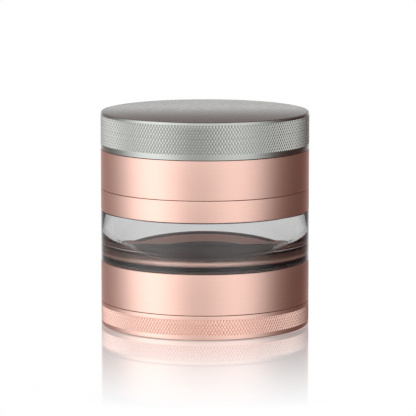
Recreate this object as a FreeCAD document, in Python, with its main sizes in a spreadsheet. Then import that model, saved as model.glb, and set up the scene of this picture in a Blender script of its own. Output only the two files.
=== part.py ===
import FreeCAD, Part
import os
import Sketcher

# Hand-held herb grinder with a clear window: catch cup, sieve and window section, grinding chamber and lid.
# Every section is a body of revolution about Z. The base of the catch cup stands on z = 0, millimetres.

SIZES = {
    # whole object
    "body_diameter": (63.0, "outside diameter of every band"),
    "cup_height": (7.5, "catch cup band, from the table"),
    "sieve_height": (12.15, "sieve body band"),
    "window_height": (15.45, "clear window band"),
    "top_ring_height": (6.6, "ring above the window"),
    "chamber_height": (11.9, "grinding chamber band"),
    "lid_height": (11.2, "lid band"),
    "seam_gap": (0.15, "axial gap where one section turns on another"),
    "edge_round": (0.5, "rounded edge of the cup base and the lid top"),
    "seam_chamfer": (0.12, "broken edge at each seam"),
    # threaded necks
    "thread_wall": (2.4, "wall outside a threaded bore"),
    "thread_clearance": (0.1, "radial gap between a neck and its bore"),
    "neck_wall": (2.5, "wall of a threaded neck"),
    "neck_length": (4.0, "length of a threaded neck"),
    "bore_relief": (0.4, "free depth of a threaded bore past its neck"),
    "ring_section": (1.0, "section diameter of a seal ring"),
    "ring_clearance": (0.05, "gap round a seal ring in its groove"),
    "ring_setback": (0.5, "metal between a seal ring's groove and the end of its part"),
    # catch cup
    "cup_floor": (2.0, "floor thickness"),
    "cup_corner": (2.0, "radius inside the cup's floor corner"),
    # sieve
    "sieve_radius": (22.0, "open radius of the sieve"),
    "sieve_seat": (1.9, "radial width of the seat under the sieve"),
    "seat_thickness": (1.0, "thickness of the seat at the sieve opening"),
    "sieve_bore": (25.5, "radius of the bore under the seat"),
    "gasket_thickness": (0.3, "sieve gasket"),
    "frame_thickness": (0.8, "sieve frame under the mesh"),
    "mesh_thickness": (0.15, "woven mesh"),
    "mesh_margin": (1.3, "mesh held past the open radius"),
    "clamp_thickness": (0.2, "rubber clamp ring over the mesh edge"),
    "sieve_clearance": (0.1, "gap round the sieve parts in their seat"),
    # clear window
    "window_wall": (3.5, "wall of the clear window"),
    "window_floor": (0.2, "thickness of the window's foot at the sieve opening"),
    "window_knee": (2.12, "rise of the foot's slope from the sieve opening to the wall"),
    "window_fillet": (8.9, "radius inside the window, wall to slope, at most what the slope leaves room for"),
    "window_chamfer": (0.3, "broken edges of the window"),
    "seal_inset": (0.9, "flat seal set in from the outside"),
    "seal_width": (1.6, "width of a flat window seal"),
    "seal_depth": (0.4, "thickness of a flat window seal and its recess"),
    # grinding chamber
    "chamber_floor": (3.2, "thickness of the grinding floor"),
    "floor_rise": (1.6, "underside of the grinding floor above the chamber's seam"),
    "upper_neck_wall": (2.4, "wall of the plain neck inside the lid"),
    "upper_neck_length": (5.0, "length of the plain neck inside the lid"),
    "post_radius": (6.0, "centre posts in chamber and lid"),
    "post_gap": (0.4, "gap between the two posts"),
    "post_height": (7.4, "chamber post above the grinding floor"),
    "tooth_height": (10.0, "chamber teeth"),
    "tooth_length": (3.9, "length of a tooth round its ring"),
    "tooth_gap": (1.0, "radial gap between two rings of teeth"),
    "ring_margin": (0.6, "free strip beside the post and the wall"),
    "inner_teeth": (6, "teeth in the chamber's inner ring"),
    "middle_teeth": (12, "teeth in the chamber's middle ring"),
    "outer_teeth": (16, "teeth in the chamber's outer ring"),
    "drop_hole": (4.0, "diameter of a drop hole"),
    "inner_holes": (8, "drop holes between inner and middle teeth"),
    "outer_holes": (14, "drop holes between middle and outer teeth"),
    # lid
    "skirt_wall": (2.55, "lid wall outside its bore"),
    "lid_clearance": (0.35, "radial gap between lid and chamber neck"),
    "lid_plate": (3.2, "thickness of the lid's top"),
    "glide_thickness": (0.8, "glide ring between neck and lid"),
    "lid_tooth_length": (12.5, "lid teeth, hanging from the ceiling"),
    "lid_inner_teeth": (6, "teeth in the lid's inner ring"),
    "lid_outer_teeth": (14, "teeth in the lid's outer ring"),
    # magnets
    "magnet_radius": (4.5, "disc magnets"),
    "magnet_thickness": (2.5, "disc magnets"),
    "magnet_clearance": (0.05, "gap round a magnet in its pocket"),
    "cap_thickness": (0.5, "cap over a magnet"),
}

OUTER = "Sizes.body_diameter / 2"
BORE = f"({OUTER} - Sizes.thread_wall)"
NECK = f"({BORE} - Sizes.thread_clearance)"
NECK_INSIDE = f"({NECK} - Sizes.neck_wall)"

CUP_TOP = "Sizes.cup_height"
SIEVE_TOP = f"({CUP_TOP} + Sizes.sieve_height)"
WINDOW_TOP = f"({SIEVE_TOP} + Sizes.window_height)"
RING_TOP = f"({WINDOW_TOP} + Sizes.top_ring_height)"
CHAMBER_TOP = f"({RING_TOP} + Sizes.chamber_height)"
LID_TOP = f"({CHAMBER_TOP} + Sizes.lid_height)"

CUP_RIM = f"({CUP_TOP} - Sizes.seam_gap)"
CUP_NECK_TOP = f"({CUP_RIM} + Sizes.neck_length)"
CUP_GROOVE = f"({CUP_RIM} + Sizes.ring_setback)"
GROOVE_HEIGHT = "(Sizes.ring_section + 2 * Sizes.ring_clearance)"
GROOVE_DEPTH = "(Sizes.ring_section - Sizes.thread_clearance + 2 * Sizes.ring_clearance)"
SIEVE_BORE_TOP = f"({CUP_NECK_TOP} + Sizes.bore_relief)"

CLAMP_BOTTOM = f"({SIEVE_TOP} - Sizes.clamp_thickness)"
MESH_BOTTOM = f"({CLAMP_BOTTOM} - Sizes.mesh_thickness)"
FRAME_BOTTOM = f"({MESH_BOTTOM} - Sizes.frame_thickness)"
SEAT = f"({FRAME_BOTTOM} - Sizes.gasket_thickness)"
SEAT_RADIUS = "(Sizes.sieve_radius + Sizes.sieve_seat + Sizes.sieve_clearance)"
SIEVE_EDGE = "(Sizes.sieve_radius + Sizes.sieve_seat)"

SEAL_OUTSIDE = f"({OUTER} - Sizes.seal_inset)"
SEAL_INSIDE = f"({SEAL_OUTSIDE} - Sizes.seal_width)"
WINDOW_INSIDE = f"({OUTER} - Sizes.window_wall)"

RING_RIM = f"({RING_TOP} - Sizes.seam_gap)"
LOWER_NECK_BOTTOM = f"({RING_RIM} - Sizes.neck_length)"
RING_SHOULDER = f"({LOWER_NECK_BOTTOM} - Sizes.bore_relief)"
RING_GROOVE_TOP = f"({RING_RIM} - Sizes.ring_setback)"

CHAMBER_RIM = f"({CHAMBER_TOP} - Sizes.seam_gap)"
FLOOR_UNDERSIDE = f"({RING_TOP} + Sizes.floor_rise)"
FLOOR = f"({FLOOR_UNDERSIDE} + Sizes.chamber_floor)"
LID_BORE = f"({OUTER} - Sizes.skirt_wall)"
UPPER_NECK = f"({LID_BORE} - Sizes.lid_clearance)"
CAVITY = f"({UPPER_NECK} - Sizes.upper_neck_wall)"
UPPER_NECK_TOP = f"({CHAMBER_RIM} + Sizes.upper_neck_length)"
GLIDE_TOP = f"({UPPER_NECK_TOP} + Sizes.glide_thickness)"
CEILING = f"({LID_TOP} - Sizes.lid_plate)"
POST_TOP = f"({FLOOR} + Sizes.post_height)"
LID_POST_BOTTOM = f"({POST_TOP} + Sizes.post_gap)"

RING_COUNT = 5
RING_PITCH = f"(({CAVITY} - Sizes.post_radius - 2 * Sizes.ring_margin) / {RING_COUNT})"
TOOTH_WIDTH = f"({RING_PITCH} - Sizes.tooth_gap)"
POCKET_RADIUS = "(Sizes.magnet_radius + Sizes.magnet_clearance)"
POCKET_DEPTH = "(Sizes.magnet_thickness + Sizes.cap_thickness)"


def ring_radius(index):
    """Gives the middle radius of one ring of teeth, 0 beside the post and 4 beside the wall."""
    return f"(Sizes.post_radius + Sizes.ring_margin + {RING_PITCH} * ({index} + 0.5))"


def make_sheet(doc):
    """Writes the driving sizes into a spreadsheet, one named cell to a row."""
    sheet = doc.addObject("Spreadsheet::Sheet", "Sizes")
    for row, (name, (value, note)) in enumerate(SIZES.items(), start=1):
        sheet.set(f"A{row}", name)
        sheet.set(f"B{row}", str(value))
        sheet.set(f"C{row}", note)
        sheet.setAlias(f"B{row}", name)
    doc.recompute()
    return sheet


def make_body(doc, label):
    """Starts one sub-part."""
    body = doc.addObject("PartDesign::Body", label)
    body.Label = label
    body.Placement = FreeCAD.Placement()
    return body


def make_sketch(body, name, plane, height=None):
    """Adds a sketch on one of the body's own origin planes, lifted to a height if one is given."""
    sketch = body.newObject("Sketcher::SketchObject", name)
    support = next(item for item in body.Origin.OriginFeatures if item.Role == plane)
    sketch.AttachmentSupport = [(support, "")]
    sketch.MapMode = "FlatFace"
    if height is not None:
        sketch.setExpression("AttachmentOffset.Base.z", height)
    return sketch


def pin(sketch, kind, line, expression, value):
    """Ties one coordinate of a line's first point to a size."""
    if abs(value) < 1e-9:
        axis = -2 if kind == "DistanceX" else -1
        sketch.addConstraint(Sketcher.Constraint("PointOnObject", line, 1, axis))
        return
    if value > 0:
        constraint = Sketcher.Constraint(kind, -1, 1, line, 1, value)
    else:
        constraint = Sketcher.Constraint(kind, line, 1, -1, 1, -value)
        expression = f"-({expression})"
    index = sketch.addConstraint(constraint)
    sketch.setExpression(f"Constraints[{index}]", expression)


def draw_outline(sketch, corners):
    """Draws a closed outline of straight lines whose corners are pairs of size expressions."""
    places = [(float(sketch.evalExpression(x)), float(sketch.evalExpression(y))) for x, y in corners]
    points = [FreeCAD.Vector(x, y, 0) for x, y in places]
    count = len(points)
    for line in range(count):
        sketch.addGeometry(Part.LineSegment(points[line], points[(line + 1) % count]), False)
    for line in range(count):
        sketch.addConstraint(Sketcher.Constraint("Coincident", line, 2, (line + 1) % count, 1))
    for line in range(count):
        pin(sketch, "DistanceX", line, corners[line][0], places[line][0])
        pin(sketch, "DistanceY", line, corners[line][1], places[line][1])


def turn(body, name, corners, feature="PartDesign::Revolution"):
    """Revolves an outline of (radius, height) corners about the body's Z axis."""
    sketch = make_sketch(body, f"{name}_outline", "XZ_Plane")
    draw_outline(sketch, corners)
    solid = body.newObject(feature, name)
    solid.Profile = sketch
    solid.ReferenceAxis = (sketch, ["V_Axis"])
    solid.Angle = 360
    return solid


def tube(body, name, inside, outside, bottom, top):
    """Revolves a plain ring between two radii and two heights."""
    return turn(body, name, [(inside, bottom), (outside, bottom), (outside, top), (inside, top)])


def circle_edges(feature, places):
    """Names the circular edges of a feature that lie at the given (radius, height) places."""
    names = []
    for number, edge in enumerate(feature.Shape.Edges, start=1):
        if not isinstance(edge.Curve, Part.Circle):
            continue
        here = (edge.Curve.Radius, edge.Curve.Center.z)
        if any(abs(here[0] - radius) < 1e-4 and abs(here[1] - height) < 1e-4 for radius, height in places):
            names.append(f"Edge{number}")
    return names


def soften(body, kind, feature, name, size, corners):
    """Fillets or chamfers a feature's circular edges at the given (radius, height) corners."""
    body.Document.recompute()
    places = [(float(feature.evalExpression(r)), float(feature.evalExpression(z))) for r, z in corners]
    edges = circle_edges(feature, places)
    if len(edges) != len(corners):
        raise RuntimeError(f"{body.Label}: {name} found {len(edges)} edges of {len(corners)}")
    dressing = body.newObject(kind, name)
    dressing.Base = (feature, edges)
    dressing.setExpression("Radius" if kind == "PartDesign::Fillet" else "Size", size)
    return dressing


def repeat_round(body, feature, sketch, name, count):
    """Repeats a feature round the Z axis and makes the pattern the body's tip."""
    pattern = body.newObject("PartDesign::PolarPattern", name)
    pattern.Originals = [feature]
    pattern.Axis = (sketch, ["N_Axis"])
    pattern.Angle = 360
    pattern.setExpression("Occurrences", count)
    body.Tip = pattern
    return pattern


def add_teeth(body, name, ring, count, height, length, downwards=False):
    """Stands one ring of diamond teeth on a surface at the given height."""
    sketch = make_sketch(body, f"{name}_diamond", "XY_Plane", height)
    radius = ring_radius(ring)
    corners = [
        (f"({radius} - {TOOTH_WIDTH} / 2)", "0 * Sizes.tooth_length"),
        (radius, "Sizes.tooth_length / -2"),
        (f"({radius} + {TOOTH_WIDTH} / 2)", "0 * Sizes.tooth_length"),
        (radius, "Sizes.tooth_length / 2"),
    ]
    draw_outline(sketch, corners)
    tooth = body.newObject("PartDesign::Pad", f"{name}_tooth")
    tooth.Profile = sketch
    tooth.Reversed = downwards
    tooth.setExpression("Length", length)
    return repeat_round(body, tooth, sketch, f"{name}_ring", count)


def add_drop_holes(body, name, ring, count):
    """Cuts one ring of drop holes through the grinding floor."""
    sketch = make_sketch(body, f"{name}_circle", "XY_Plane", FLOOR)
    radius = ring_radius(ring)
    centre = FreeCAD.Vector(float(sketch.evalExpression(radius)), 0, 0)
    hole_radius = float(sketch.evalExpression("Sizes.drop_hole / 2"))
    circle = sketch.addGeometry(Part.Circle(centre, FreeCAD.Vector(0, 0, 1), hole_radius), False)
    size = sketch.addConstraint(Sketcher.Constraint("Radius", circle, hole_radius))
    sketch.setExpression(f"Constraints[{size}]", "Sizes.drop_hole / 2")
    place = sketch.addConstraint(Sketcher.Constraint("DistanceX", -1, 1, circle, 3, centre.x))
    sketch.setExpression(f"Constraints[{place}]", radius)
    sketch.addConstraint(Sketcher.Constraint("PointOnObject", circle, 3, -1))
    hole = body.newObject("PartDesign::Pocket", f"{name}_hole")
    hole.Profile = sketch
    hole.setExpression("Length", "Sizes.chamber_floor")
    return repeat_round(body, hole, sketch, f"{name}_ring", count)


def make_catch_cup(doc):
    """Cup with a rounded inside corner and a threaded neck that holds a seal ring."""
    body = make_body(doc, "catch_cup")
    groove_top = f"({CUP_GROOVE} + {GROOVE_HEIGHT})"
    groove = f"({NECK} - {GROOVE_DEPTH})"
    axis = "0 * Sizes.cup_floor"
    shell = turn(body, "shell", [
        (axis, axis),
        (OUTER, axis),
        (OUTER, CUP_RIM),
        (NECK, CUP_RIM),
        (NECK, CUP_GROOVE),
        (groove, CUP_GROOVE),
        (groove, groove_top),
        (NECK, groove_top),
        (NECK, CUP_NECK_TOP),
        (NECK_INSIDE, CUP_NECK_TOP),
        (NECK_INSIDE, "Sizes.cup_floor"),
        (axis, "Sizes.cup_floor"),
    ])
    corner = soften(body, "PartDesign::Fillet", shell, "inside_corner", "Sizes.cup_corner",
                    [(NECK_INSIDE, "Sizes.cup_floor")])
    foot = soften(body, "PartDesign::Fillet", corner, "foot_edge", "Sizes.edge_round", [(OUTER, axis)])
    soften(body, "PartDesign::Chamfer", foot, "rim_edge", "Sizes.seam_chamfer", [(OUTER, CUP_RIM)])
    return body


def make_seal_ring(doc, label, centre_radius, centre_height):
    """Round-section seal ring."""
    body = make_body(doc, label)
    sketch = make_sketch(body, "section", "XZ_Plane")
    place = [float(sketch.evalExpression(item)) for item in (centre_radius, centre_height)]
    radius = float(sketch.evalExpression("Sizes.ring_section / 2"))
    centre = FreeCAD.Vector(place[0], place[1], 0)
    circle = sketch.addGeometry(Part.Circle(centre, FreeCAD.Vector(0, 0, 1), radius), False)
    bindings = [
        (Sketcher.Constraint("Radius", circle, radius), "Sizes.ring_section / 2"),
        (Sketcher.Constraint("DistanceX", -1, 1, circle, 3, place[0]), centre_radius),
        (Sketcher.Constraint("DistanceY", -1, 1, circle, 3, place[1]), centre_height),
    ]
    for constraint, expression in bindings:
        index = sketch.addConstraint(constraint)
        sketch.setExpression(f"Constraints[{index}]", expression)
    ring = body.newObject("PartDesign::Revolution", "ring")
    ring.Profile = sketch
    ring.ReferenceAxis = (sketch, ["V_Axis"])
    ring.Angle = 360
    return body


def make_sieve_body(doc):
    """Band with a threaded bore below, a seat for the sieve and a recess for the window's lower seal."""
    body = make_body(doc, "sieve_body")
    seat_underside = f"({SEAT} - Sizes.seat_thickness)"
    cone_foot = f"({seat_underside} - (Sizes.sieve_bore - Sizes.sieve_radius))"
    recess = f"({SIEVE_TOP} - Sizes.seal_depth)"
    band = turn(body, "band", [
        (BORE, CUP_TOP),
        (OUTER, CUP_TOP),
        (OUTER, SIEVE_TOP),
        (SEAL_OUTSIDE, SIEVE_TOP),
        (SEAL_OUTSIDE, recess),
        (SEAL_INSIDE, recess),
        (SEAL_INSIDE, SIEVE_TOP),
        (SEAT_RADIUS, SIEVE_TOP),
        (SEAT_RADIUS, SEAT),
        ("Sizes.sieve_radius", SEAT),
        ("Sizes.sieve_radius", seat_underside),
        ("Sizes.sieve_bore", cone_foot),
        ("Sizes.sieve_bore", SIEVE_BORE_TOP),
        (BORE, SIEVE_BORE_TOP),
    ])
    soften(body, "PartDesign::Chamfer", band, "seam_edges", "Sizes.seam_chamfer",
           [(OUTER, CUP_TOP), (OUTER, SIEVE_TOP)])
    return body


def make_sieve_parts(doc):
    """Gasket, frame, mesh and clamp ring, stacked in the sieve body's seat."""
    gasket = make_body(doc, "sieve_gasket")
    tube(gasket, "ring", "Sizes.sieve_radius", SIEVE_EDGE, SEAT, FRAME_BOTTOM)
    frame = make_body(doc, "sieve_frame")
    mesh_edge = "(Sizes.sieve_radius + Sizes.mesh_margin)"
    turn(frame, "ring", [
        ("Sizes.sieve_radius", FRAME_BOTTOM),
        (SIEVE_EDGE, FRAME_BOTTOM),
        (SIEVE_EDGE, CLAMP_BOTTOM),
        (mesh_edge, CLAMP_BOTTOM),
        (mesh_edge, MESH_BOTTOM),
        ("Sizes.sieve_radius", MESH_BOTTOM),
    ])
    mesh = make_body(doc, "sieve_mesh")
    axis = "0 * Sizes.sieve_radius"
    turn(mesh, "disc", [(axis, MESH_BOTTOM), (mesh_edge, MESH_BOTTOM), (mesh_edge, CLAMP_BOTTOM),
                        (axis, CLAMP_BOTTOM)])
    clamp = make_body(doc, "sieve_clamp_ring")
    tube(clamp, "ring", "Sizes.sieve_radius", SIEVE_EDGE, CLAMP_BOTTOM, SIEVE_TOP)
    return [gasket, frame, mesh, clamp]


def make_window(doc):
    """Clear ring with a bowl-shaped foot, and the flat seals below and above it."""
    lower_seal = make_body(doc, "window_lower_seal")
    tube(lower_seal, "ring", SEAL_INSIDE, SEAL_OUTSIDE, f"({SIEVE_TOP} - Sizes.seal_depth)", SIEVE_TOP)
    upper_seal = make_body(doc, "window_upper_seal")
    tube(upper_seal, "ring", SEAL_INSIDE, SEAL_OUTSIDE, WINDOW_TOP, f"({WINDOW_TOP} + Sizes.seal_depth)")
    glass = make_body(doc, "window_glass")
    lip = "Sizes.sieve_radius"
    lip_top = f"({SIEVE_TOP} + Sizes.window_floor)"
    knee = f"({lip_top} + Sizes.window_knee)"
    wall = turn(glass, "wall", [
        (lip, SIEVE_TOP),
        (OUTER, SIEVE_TOP),
        (OUTER, WINDOW_TOP),
        (WINDOW_INSIDE, WINDOW_TOP),
        (WINDOW_INSIDE, knee),
        (lip, lip_top),
    ])
    run = f"({WINDOW_INSIDE} - {lip})"
    slope = f"sqrt({run} * {run} + Sizes.window_knee * Sizes.window_knee)"
    room = f"(0.99 * {slope} * {run} / ({slope} - Sizes.window_knee))"
    radius = f"min(Sizes.window_fillet; {room})"
    bowl = soften(glass, "PartDesign::Fillet", wall, "bowl", radius, [(WINDOW_INSIDE, knee)])
    soften(glass, "PartDesign::Chamfer", bowl, "edges", "Sizes.window_chamfer",
           [(OUTER, SIEVE_TOP), (OUTER, WINDOW_TOP)])
    return [lower_seal, upper_seal, glass]


def make_top_ring(doc):
    """Threaded ring above the window, with a recess for its seal and a groove for the chamber's seal ring."""
    body = make_body(doc, "window_top_ring")
    recess = f"({WINDOW_TOP} + Sizes.seal_depth)"
    groove = f"({BORE} + {GROOVE_DEPTH})"
    groove_bottom = f"({RING_GROOVE_TOP} - {GROOVE_HEIGHT})"
    band = turn(body, "band", [
        (WINDOW_INSIDE, WINDOW_TOP),
        (SEAL_INSIDE, WINDOW_TOP),
        (SEAL_INSIDE, recess),
        (SEAL_OUTSIDE, recess),
        (SEAL_OUTSIDE, WINDOW_TOP),
        (OUTER, WINDOW_TOP),
        (OUTER, RING_RIM),
        (BORE, RING_RIM),
        (BORE, RING_GROOVE_TOP),
        (groove, RING_GROOVE_TOP),
        (groove, groove_bottom),
        (BORE, groove_bottom),
        (BORE, RING_SHOULDER),
        (WINDOW_INSIDE, RING_SHOULDER),
    ])
    soften(body, "PartDesign::Chamfer", band, "seam_edges", "Sizes.seam_chamfer",
           [(OUTER, WINDOW_TOP), (OUTER, RING_RIM)])
    return body


def make_grinding_chamber(doc):
    """Band with necks below and above, a floor with teeth and drop holes, and a post for its magnet."""
    body = make_body(doc, "grinding_chamber")
    axis = "0 * Sizes.post_radius"
    pocket = f"({POST_TOP} - {POCKET_DEPTH})"
    band = turn(body, "band", [
        (axis, FLOOR_UNDERSIDE),
        (NECK_INSIDE, FLOOR_UNDERSIDE),
        (NECK_INSIDE, LOWER_NECK_BOTTOM),
        (NECK, LOWER_NECK_BOTTOM),
        (NECK, RING_TOP),
        (OUTER, RING_TOP),
        (OUTER, CHAMBER_RIM),
        (UPPER_NECK, CHAMBER_RIM),
        (UPPER_NECK, UPPER_NECK_TOP),
        (CAVITY, UPPER_NECK_TOP),
        (CAVITY, FLOOR),
        ("Sizes.post_radius", FLOOR),
        ("Sizes.post_radius", POST_TOP),
        (POCKET_RADIUS, POST_TOP),
        (POCKET_RADIUS, pocket),
        (axis, pocket),
    ])
    soften(body, "PartDesign::Chamfer", band, "seam_edges", "Sizes.seam_chamfer",
           [(OUTER, RING_TOP), (OUTER, CHAMBER_RIM)])
    add_teeth(body, "inner", 0, "Sizes.inner_teeth", FLOOR, "Sizes.tooth_height")
    add_teeth(body, "middle", 2, "Sizes.middle_teeth", FLOOR, "Sizes.tooth_height")
    add_teeth(body, "outer", 4, "Sizes.outer_teeth", FLOOR, "Sizes.tooth_height")
    add_drop_holes(body, "inner_holes", 1, "Sizes.inner_holes")
    add_drop_holes(body, "outer_holes", 3, "Sizes.outer_holes")
    return body


def make_lid(doc):
    """Cap with a turned skirt, a step that rides on the glide ring, hanging teeth and a magnet post."""
    body = make_body(doc, "lid_shell")
    axis = "0 * Sizes.post_radius"
    pocket = f"({LID_POST_BOTTOM} + {POCKET_DEPTH})"
    cap = turn(body, "cap", [
        (axis, LID_TOP),
        (OUTER, LID_TOP),
        (OUTER, CHAMBER_TOP),
        (LID_BORE, CHAMBER_TOP),
        (LID_BORE, GLIDE_TOP),
        (CAVITY, GLIDE_TOP),
        (CAVITY, CEILING),
        ("Sizes.post_radius", CEILING),
        ("Sizes.post_radius", LID_POST_BOTTOM),
        (POCKET_RADIUS, LID_POST_BOTTOM),
        (POCKET_RADIUS, pocket),
        (axis, pocket),
    ])
    top = soften(body, "PartDesign::Fillet", cap, "top_edge", "Sizes.edge_round", [(OUTER, LID_TOP)])
    soften(body, "PartDesign::Chamfer", top, "seam_edge", "Sizes.seam_chamfer", [(OUTER, CHAMBER_TOP)])
    add_teeth(body, "inner", 1, "Sizes.lid_inner_teeth", CEILING, "Sizes.lid_tooth_length", downwards=True)
    add_teeth(body, "outer", 3, "Sizes.lid_outer_teeth", CEILING, "Sizes.lid_tooth_length", downwards=True)
    return body


def make_glide_ring(doc):
    """Flat low-friction ring between the chamber's upper neck and the lid's step."""
    body = make_body(doc, "lid_glide_ring")
    tube(body, "ring", CAVITY, UPPER_NECK, UPPER_NECK_TOP, GLIDE_TOP)
    return body


def make_disc(doc, label, bottom, top):
    """Disc of the magnets' radius between two heights."""
    body = make_body(doc, label)
    axis = "0 * Sizes.magnet_radius"
    turn(body, "disc", [(axis, bottom), ("Sizes.magnet_radius", bottom), ("Sizes.magnet_radius", top), (axis, top)])
    return body


def make_magnets(doc):
    """Two magnets in their posts, each under a cap flush with its post's end."""
    cap_bottom = f"({POST_TOP} - Sizes.cap_thickness)"
    lid_cap_top = f"({LID_POST_BOTTOM} + Sizes.cap_thickness)"
    return [
        make_disc(doc, "chamber_magnet", f"({POST_TOP} - {POCKET_DEPTH})", cap_bottom),
        make_disc(doc, "chamber_magnet_cap", cap_bottom, POST_TOP),
        make_disc(doc, "lid_magnet", lid_cap_top, f"({LID_POST_BOTTOM} + {POCKET_DEPTH})"),
        make_disc(doc, "lid_magnet_cap", LID_POST_BOTTOM, lid_cap_top),
    ]


def make_seal_rings(doc):
    """Seal rings in the cup's neck and in the top ring's bore."""
    reach = "(Sizes.ring_section / 2 + Sizes.ring_clearance)"
    cup_radius = f"({NECK} - {GROOVE_DEPTH} + {reach})"
    chamber_radius = f"({BORE} + {GROOVE_DEPTH} - {reach})"
    return [
        make_seal_ring(doc, "cup_seal_ring", cup_radius, f"({CUP_GROOVE} + {reach})"),
        make_seal_ring(doc, "chamber_seal_ring", chamber_radius, f"({RING_GROOVE_TOP} - {reach})"),
    ]


def check(doc, bodies):
    """Stops if any object failed or any sub-part is not one valid solid."""
    for item in doc.Objects:
        if "Invalid" in item.State or "Error" in item.State:
            raise RuntimeError(f"{item.Label}: {item.State}")
    for body in bodies:
        if body.Shape.isNull() or not body.Shape.isValid():
            raise RuntimeError(f"{body.Label}: bad shape")
        if len(body.Shape.Solids) != 1:
            raise RuntimeError(f"{body.Label}: {len(body.Shape.Solids)} solids")


def main():
    """Builds every sub-part and writes each to its own file."""
    doc = FreeCAD.newDocument("HerbGrinder")
    make_sheet(doc)
    bodies = [make_catch_cup(doc), make_sieve_body(doc)]
    bodies += make_sieve_parts(doc)
    bodies += make_window(doc)
    bodies += [make_top_ring(doc), make_grinding_chamber(doc), make_glide_ring(doc), make_lid(doc)]
    bodies += make_magnets(doc)
    bodies += make_seal_rings(doc)
    doc.recompute()
    check(doc, bodies)
    os.makedirs("parts", exist_ok=True)
    for body in bodies:
        body.Shape.exportStep(f"parts/{body.Label}.step")
        print(f"{body.Label}: {body.Shape.Volume:.1f} mm3")


main()
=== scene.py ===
"""Looks of a hand-held herb grinder: turned and knurled metal, a clear window and a woven sieve.

Every piece is modelled at its place in the row frame, in metres, with its object at the origin.
"""

import logging
import math
from dataclasses import dataclass, field
from enum import Enum
from typing import NamedTuple

import bmesh
import bpy
from mathutils import Matrix, Vector


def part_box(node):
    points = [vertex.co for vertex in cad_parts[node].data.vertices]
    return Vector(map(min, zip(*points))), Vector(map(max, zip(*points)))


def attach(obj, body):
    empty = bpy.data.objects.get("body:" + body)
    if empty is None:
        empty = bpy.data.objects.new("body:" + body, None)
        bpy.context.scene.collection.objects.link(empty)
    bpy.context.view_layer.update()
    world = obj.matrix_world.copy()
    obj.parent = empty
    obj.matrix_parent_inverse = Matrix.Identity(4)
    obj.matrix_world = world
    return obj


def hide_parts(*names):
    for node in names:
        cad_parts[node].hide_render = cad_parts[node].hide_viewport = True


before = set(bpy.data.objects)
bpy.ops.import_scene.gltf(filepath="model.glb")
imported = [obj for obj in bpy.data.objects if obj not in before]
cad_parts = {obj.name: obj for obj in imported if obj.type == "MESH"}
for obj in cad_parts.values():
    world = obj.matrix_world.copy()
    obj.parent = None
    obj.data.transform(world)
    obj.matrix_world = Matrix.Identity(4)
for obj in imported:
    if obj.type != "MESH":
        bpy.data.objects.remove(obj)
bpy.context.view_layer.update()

LOG = logging.getLogger("herb_grinder")
UP = Vector((0.0, 0.0, 1.0))
AROUND = 2.0 * math.pi
ROUND_STEPS = 256
ARC_STEP = 0.0002
WELD = 1e-7
PATTERN_WELD = 2e-6
SHARP = math.radians(32.0)
SIEVE_OPENING = 0.0220
SEAL_EDGE = 0.00005
WHITE = (1.0, 1.0, 1.0, 1.0)

Mesh = bmesh.types.BMesh
Material = bpy.types.Material
Socket = bpy.types.NodeSocket
Colour = tuple[float, float, float]


class Slot(Enum):
    """Material slots of the record."""

    ROSE = "rose_anodised"
    SILVER = "silver_anodised"
    CLEAR = "clear_window"
    RUBBER = "black_rubber"
    STEEL = "stainless"
    WEAVE = "steel_mesh"
    NICKEL = "magnet_nickel"
    PLASTIC = "white_ptfe"


class Corner(NamedTuple):
    """One corner of a turned outline: radius, height and the radius of its rounding."""

    r: float
    z: float
    rounding: float = 0.0


class Facing(Enum):
    """Which way a sleeve's worked surface faces."""

    OUT = 1
    IN = -1


# ---- mesh tools


def all_of(mesh: Mesh) -> list:
    """Lists every vertex, edge and face of a mesh."""
    return mesh.verts[:] + mesh.edges[:] + mesh.faces[:]


def verts_in(geometry: list) -> list[bmesh.types.BMVert]:
    """Picks the vertices out of an operator's result."""
    return [item for item in geometry if isinstance(item, bmesh.types.BMVert)]


def rim_in(geometry: list) -> list[bmesh.types.BMEdge]:
    """Picks the open edges out of an operator's result."""
    return [item for item in geometry if isinstance(item, bmesh.types.BMEdge) and item.is_boundary]


def stored(name: str, mesh: Mesh) -> bpy.types.Mesh:
    """Stores a mesh as data.

    Args:
        name: The data's name.
        mesh: The mesh, which is freed.

    Returns:
        The data.
    """
    data = bpy.data.meshes.new(name)
    mesh.to_mesh(data)
    mesh.free()
    return data


def linked(name: str, data: bpy.types.ID) -> bpy.types.Object:
    """Puts an object into the scene.

    Args:
        name: Its name.
        data: Its mesh or camera.

    Returns:
        The object.
    """
    item = bpy.data.objects.new(name, data)
    bpy.context.scene.collection.objects.link(item)
    return item


def revolve(mesh: Mesh, steps: int = ROUND_STEPS) -> None:
    """Spins an outline once round the Z axis and joins its ends."""
    bmesh.ops.spin(mesh, geom=mesh.verts[:] + mesh.edges[:], cent=(0, 0, 0), axis=UP, dvec=(0, 0, 0),
                   angle=AROUND, steps=steps, use_merge=True, use_duplicate=False)


def repeat_round(mesh: Mesh, count: int) -> None:
    """Repeats a whole mesh evenly round the Z axis, up to a count."""
    bmesh.ops.spin(mesh, geom=all_of(mesh), cent=(0, 0, 0), axis=UP, dvec=(0, 0, 0),
                   angle=AROUND * (count - 1) / count, steps=count - 1, use_duplicate=True)


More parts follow.
